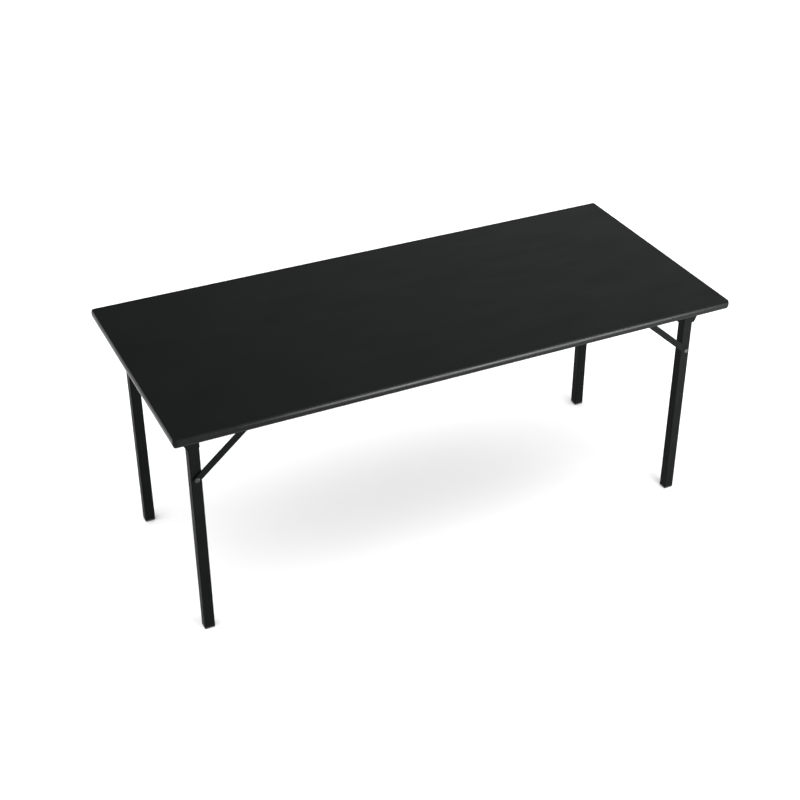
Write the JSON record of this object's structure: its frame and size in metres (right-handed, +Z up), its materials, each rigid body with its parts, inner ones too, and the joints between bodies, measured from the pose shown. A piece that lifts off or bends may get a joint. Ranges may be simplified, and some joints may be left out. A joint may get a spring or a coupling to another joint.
{
  "type": "folding table",
  "caption": "Rectangular folding table: a thick flat top with a rounded edge strip on leg frames of square tube that fold in under it, each leg braced by a sliding strut.",
  "frame": {"origin": "on the floor under the middle of the top", "axes": "+X along the length of the top, +Y towards the back long edge, +Z up"},
  "size_m": [1.7998, 0.7998, 0.75],
  "materials": {
    "laminate": "satin black high-pressure laminate with a fine grain",
    "backing": "plain black backing laminate",
    "board": "raw wood fibre board, seen only in its holes",
    "edge_plastic": "black moulded edge strip with a soft sheen",
    "coated_steel": "black powder coat, fine orange-peel texture",
    "zinc_steel": "bright zinc plate",
    "spring_steel": "blued spring steel",
    "cap_plastic": "black moulded plastic",
    "nylon": "natural nylon"
  },
  "bodies": {
    "table_top": {"top_board": "board", "top_laminate": "laminate", "backing_sheet": "backing", "edge_band": "edge_plastic", "pivot_bolts": "zinc_steel", "pivot_nuts": "zinc_steel", "bracket_screws": "zinc_steel", "guide_screws": "zinc_steel", "spring_rivets": "zinc_steel", "hinge_bracket_front_left": "coated_steel", "hinge_bracket_back_left": "coated_steel", "hinge_bracket_front_right": "coated_steel", "hinge_bracket_back_right": "coated_steel", "guide_plate_front_left": "coated_steel", "guide_plate_back_left": "coated_steel", "guide_plate_front_right": "coated_steel", "guide_plate_back_right": "coated_steel", "detent_spring_front_left": "spring_steel", "detent_spring_back_left": "spring_steel", "detent_spring_front_right": "spring_steel", "detent_spring_back_right": "spring_steel"},
    "leg_frame_left": {"leg_front_left": "coated_steel", "foot_cap_front_left": "cap_plastic", "leg_plug_front_left": "cap_plastic", "pivot_bush_front_left": "nylon", "leg_back_left": "coated_steel", "foot_cap_back_left": "cap_plastic", "leg_plug_back_left": "cap_plastic", "pivot_bush_back_left": "nylon", "cross_tube_left": "coated_steel", "strut_rivets_left": "zinc_steel", "strut_washers_left": "nylon"},
    "strut_front_left_arm": {"strut_front_left": "coated_steel", "slide_pin_front_left": "zinc_steel", "slide_bush_front_left": "nylon"},
    "strut_back_left_arm": {"strut_back_left": "coated_steel", "slide_pin_back_left": "zinc_steel", "slide_bush_back_left": "nylon"},
    "leg_frame_right": {"leg_front_right": "coated_steel", "foot_cap_front_right": "cap_plastic", "leg_plug_front_right": "cap_plastic", "pivot_bush_front_right": "nylon", "leg_back_right": "coated_steel", "foot_cap_back_right": "cap_plastic", "leg_plug_back_right": "cap_plastic", "pivot_bush_back_right": "nylon", "cross_tube_right": "coated_steel", "strut_rivets_right": "zinc_steel", "strut_washers_right": "nylon"},
    "strut_front_right_arm": {"strut_front_right": "coated_steel", "slide_pin_front_right": "zinc_steel", "slide_bush_front_right": "nylon"},
    "strut_back_right_arm": {"strut_back_right": "coated_steel", "slide_pin_back_right": "zinc_steel", "slide_bush_back_right": "nylon"}
  },
  "joints": [
    {"name": "left_legs_fold", "type": "hinge", "parent": "table_top", "child": "leg_frame_left", "pos_m": [-0.819, 0, 0.675], "axis": [0, -1, 0], "range_deg": [0, 90], "deforming": ["detent_spring_front_left", "detent_spring_back_left"]},
    {"name": "right_legs_fold", "type": "hinge", "parent": "table_top", "child": "leg_frame_right", "pos_m": [0.819, 0, 0.675], "axis": [0, 1, 0], "range_deg": [0, 90], "deforming": ["detent_spring_front_right", "detent_spring_back_right"]},
    {"name": "strut_front_left_turn", "type": "hinge", "parent": "leg_frame_left", "child": "strut_front_left_arm", "pos_m": [-0.819, -0.292, 0.545], "axis": [0, -1, 0], "range_deg": [-125, 0]},
    {"name": "strut_back_left_turn", "type": "hinge", "parent": "leg_frame_left", "child": "strut_back_left_arm", "pos_m": [-0.819, 0.292, 0.545], "axis": [0, -1, 0], "range_deg": [-125, 0]},
    {"name": "strut_front_right_turn", "type": "hinge", "parent": "leg_frame_right", "child": "strut_front_right_arm", "pos_m": [0.819, -0.292, 0.545], "axis": [0, 1, 0], "range_deg": [-125, 0]},
    {"name": "strut_back_right_turn", "type": "hinge", "parent": "leg_frame_right", "child": "strut_back_right_arm", "pos_m": [0.819, 0.292, 0.545], "axis": [0, 1, 0], "range_deg": [-125, 0]}
  ],
  "couplings": [
    {"joint": "strut_front_left_turn", "follows": "left_legs_fold", "ratio": -1.3805},
    {"joint": "strut_back_left_turn", "follows": "left_legs_fold", "ratio": -1.3805},
    {"joint": "strut_front_right_turn", "follows": "right_legs_fold", "ratio": -1.3805},
    {"joint": "strut_back_right_turn", "follows": "right_legs_fold", "ratio": -1.3805}
  ]
}
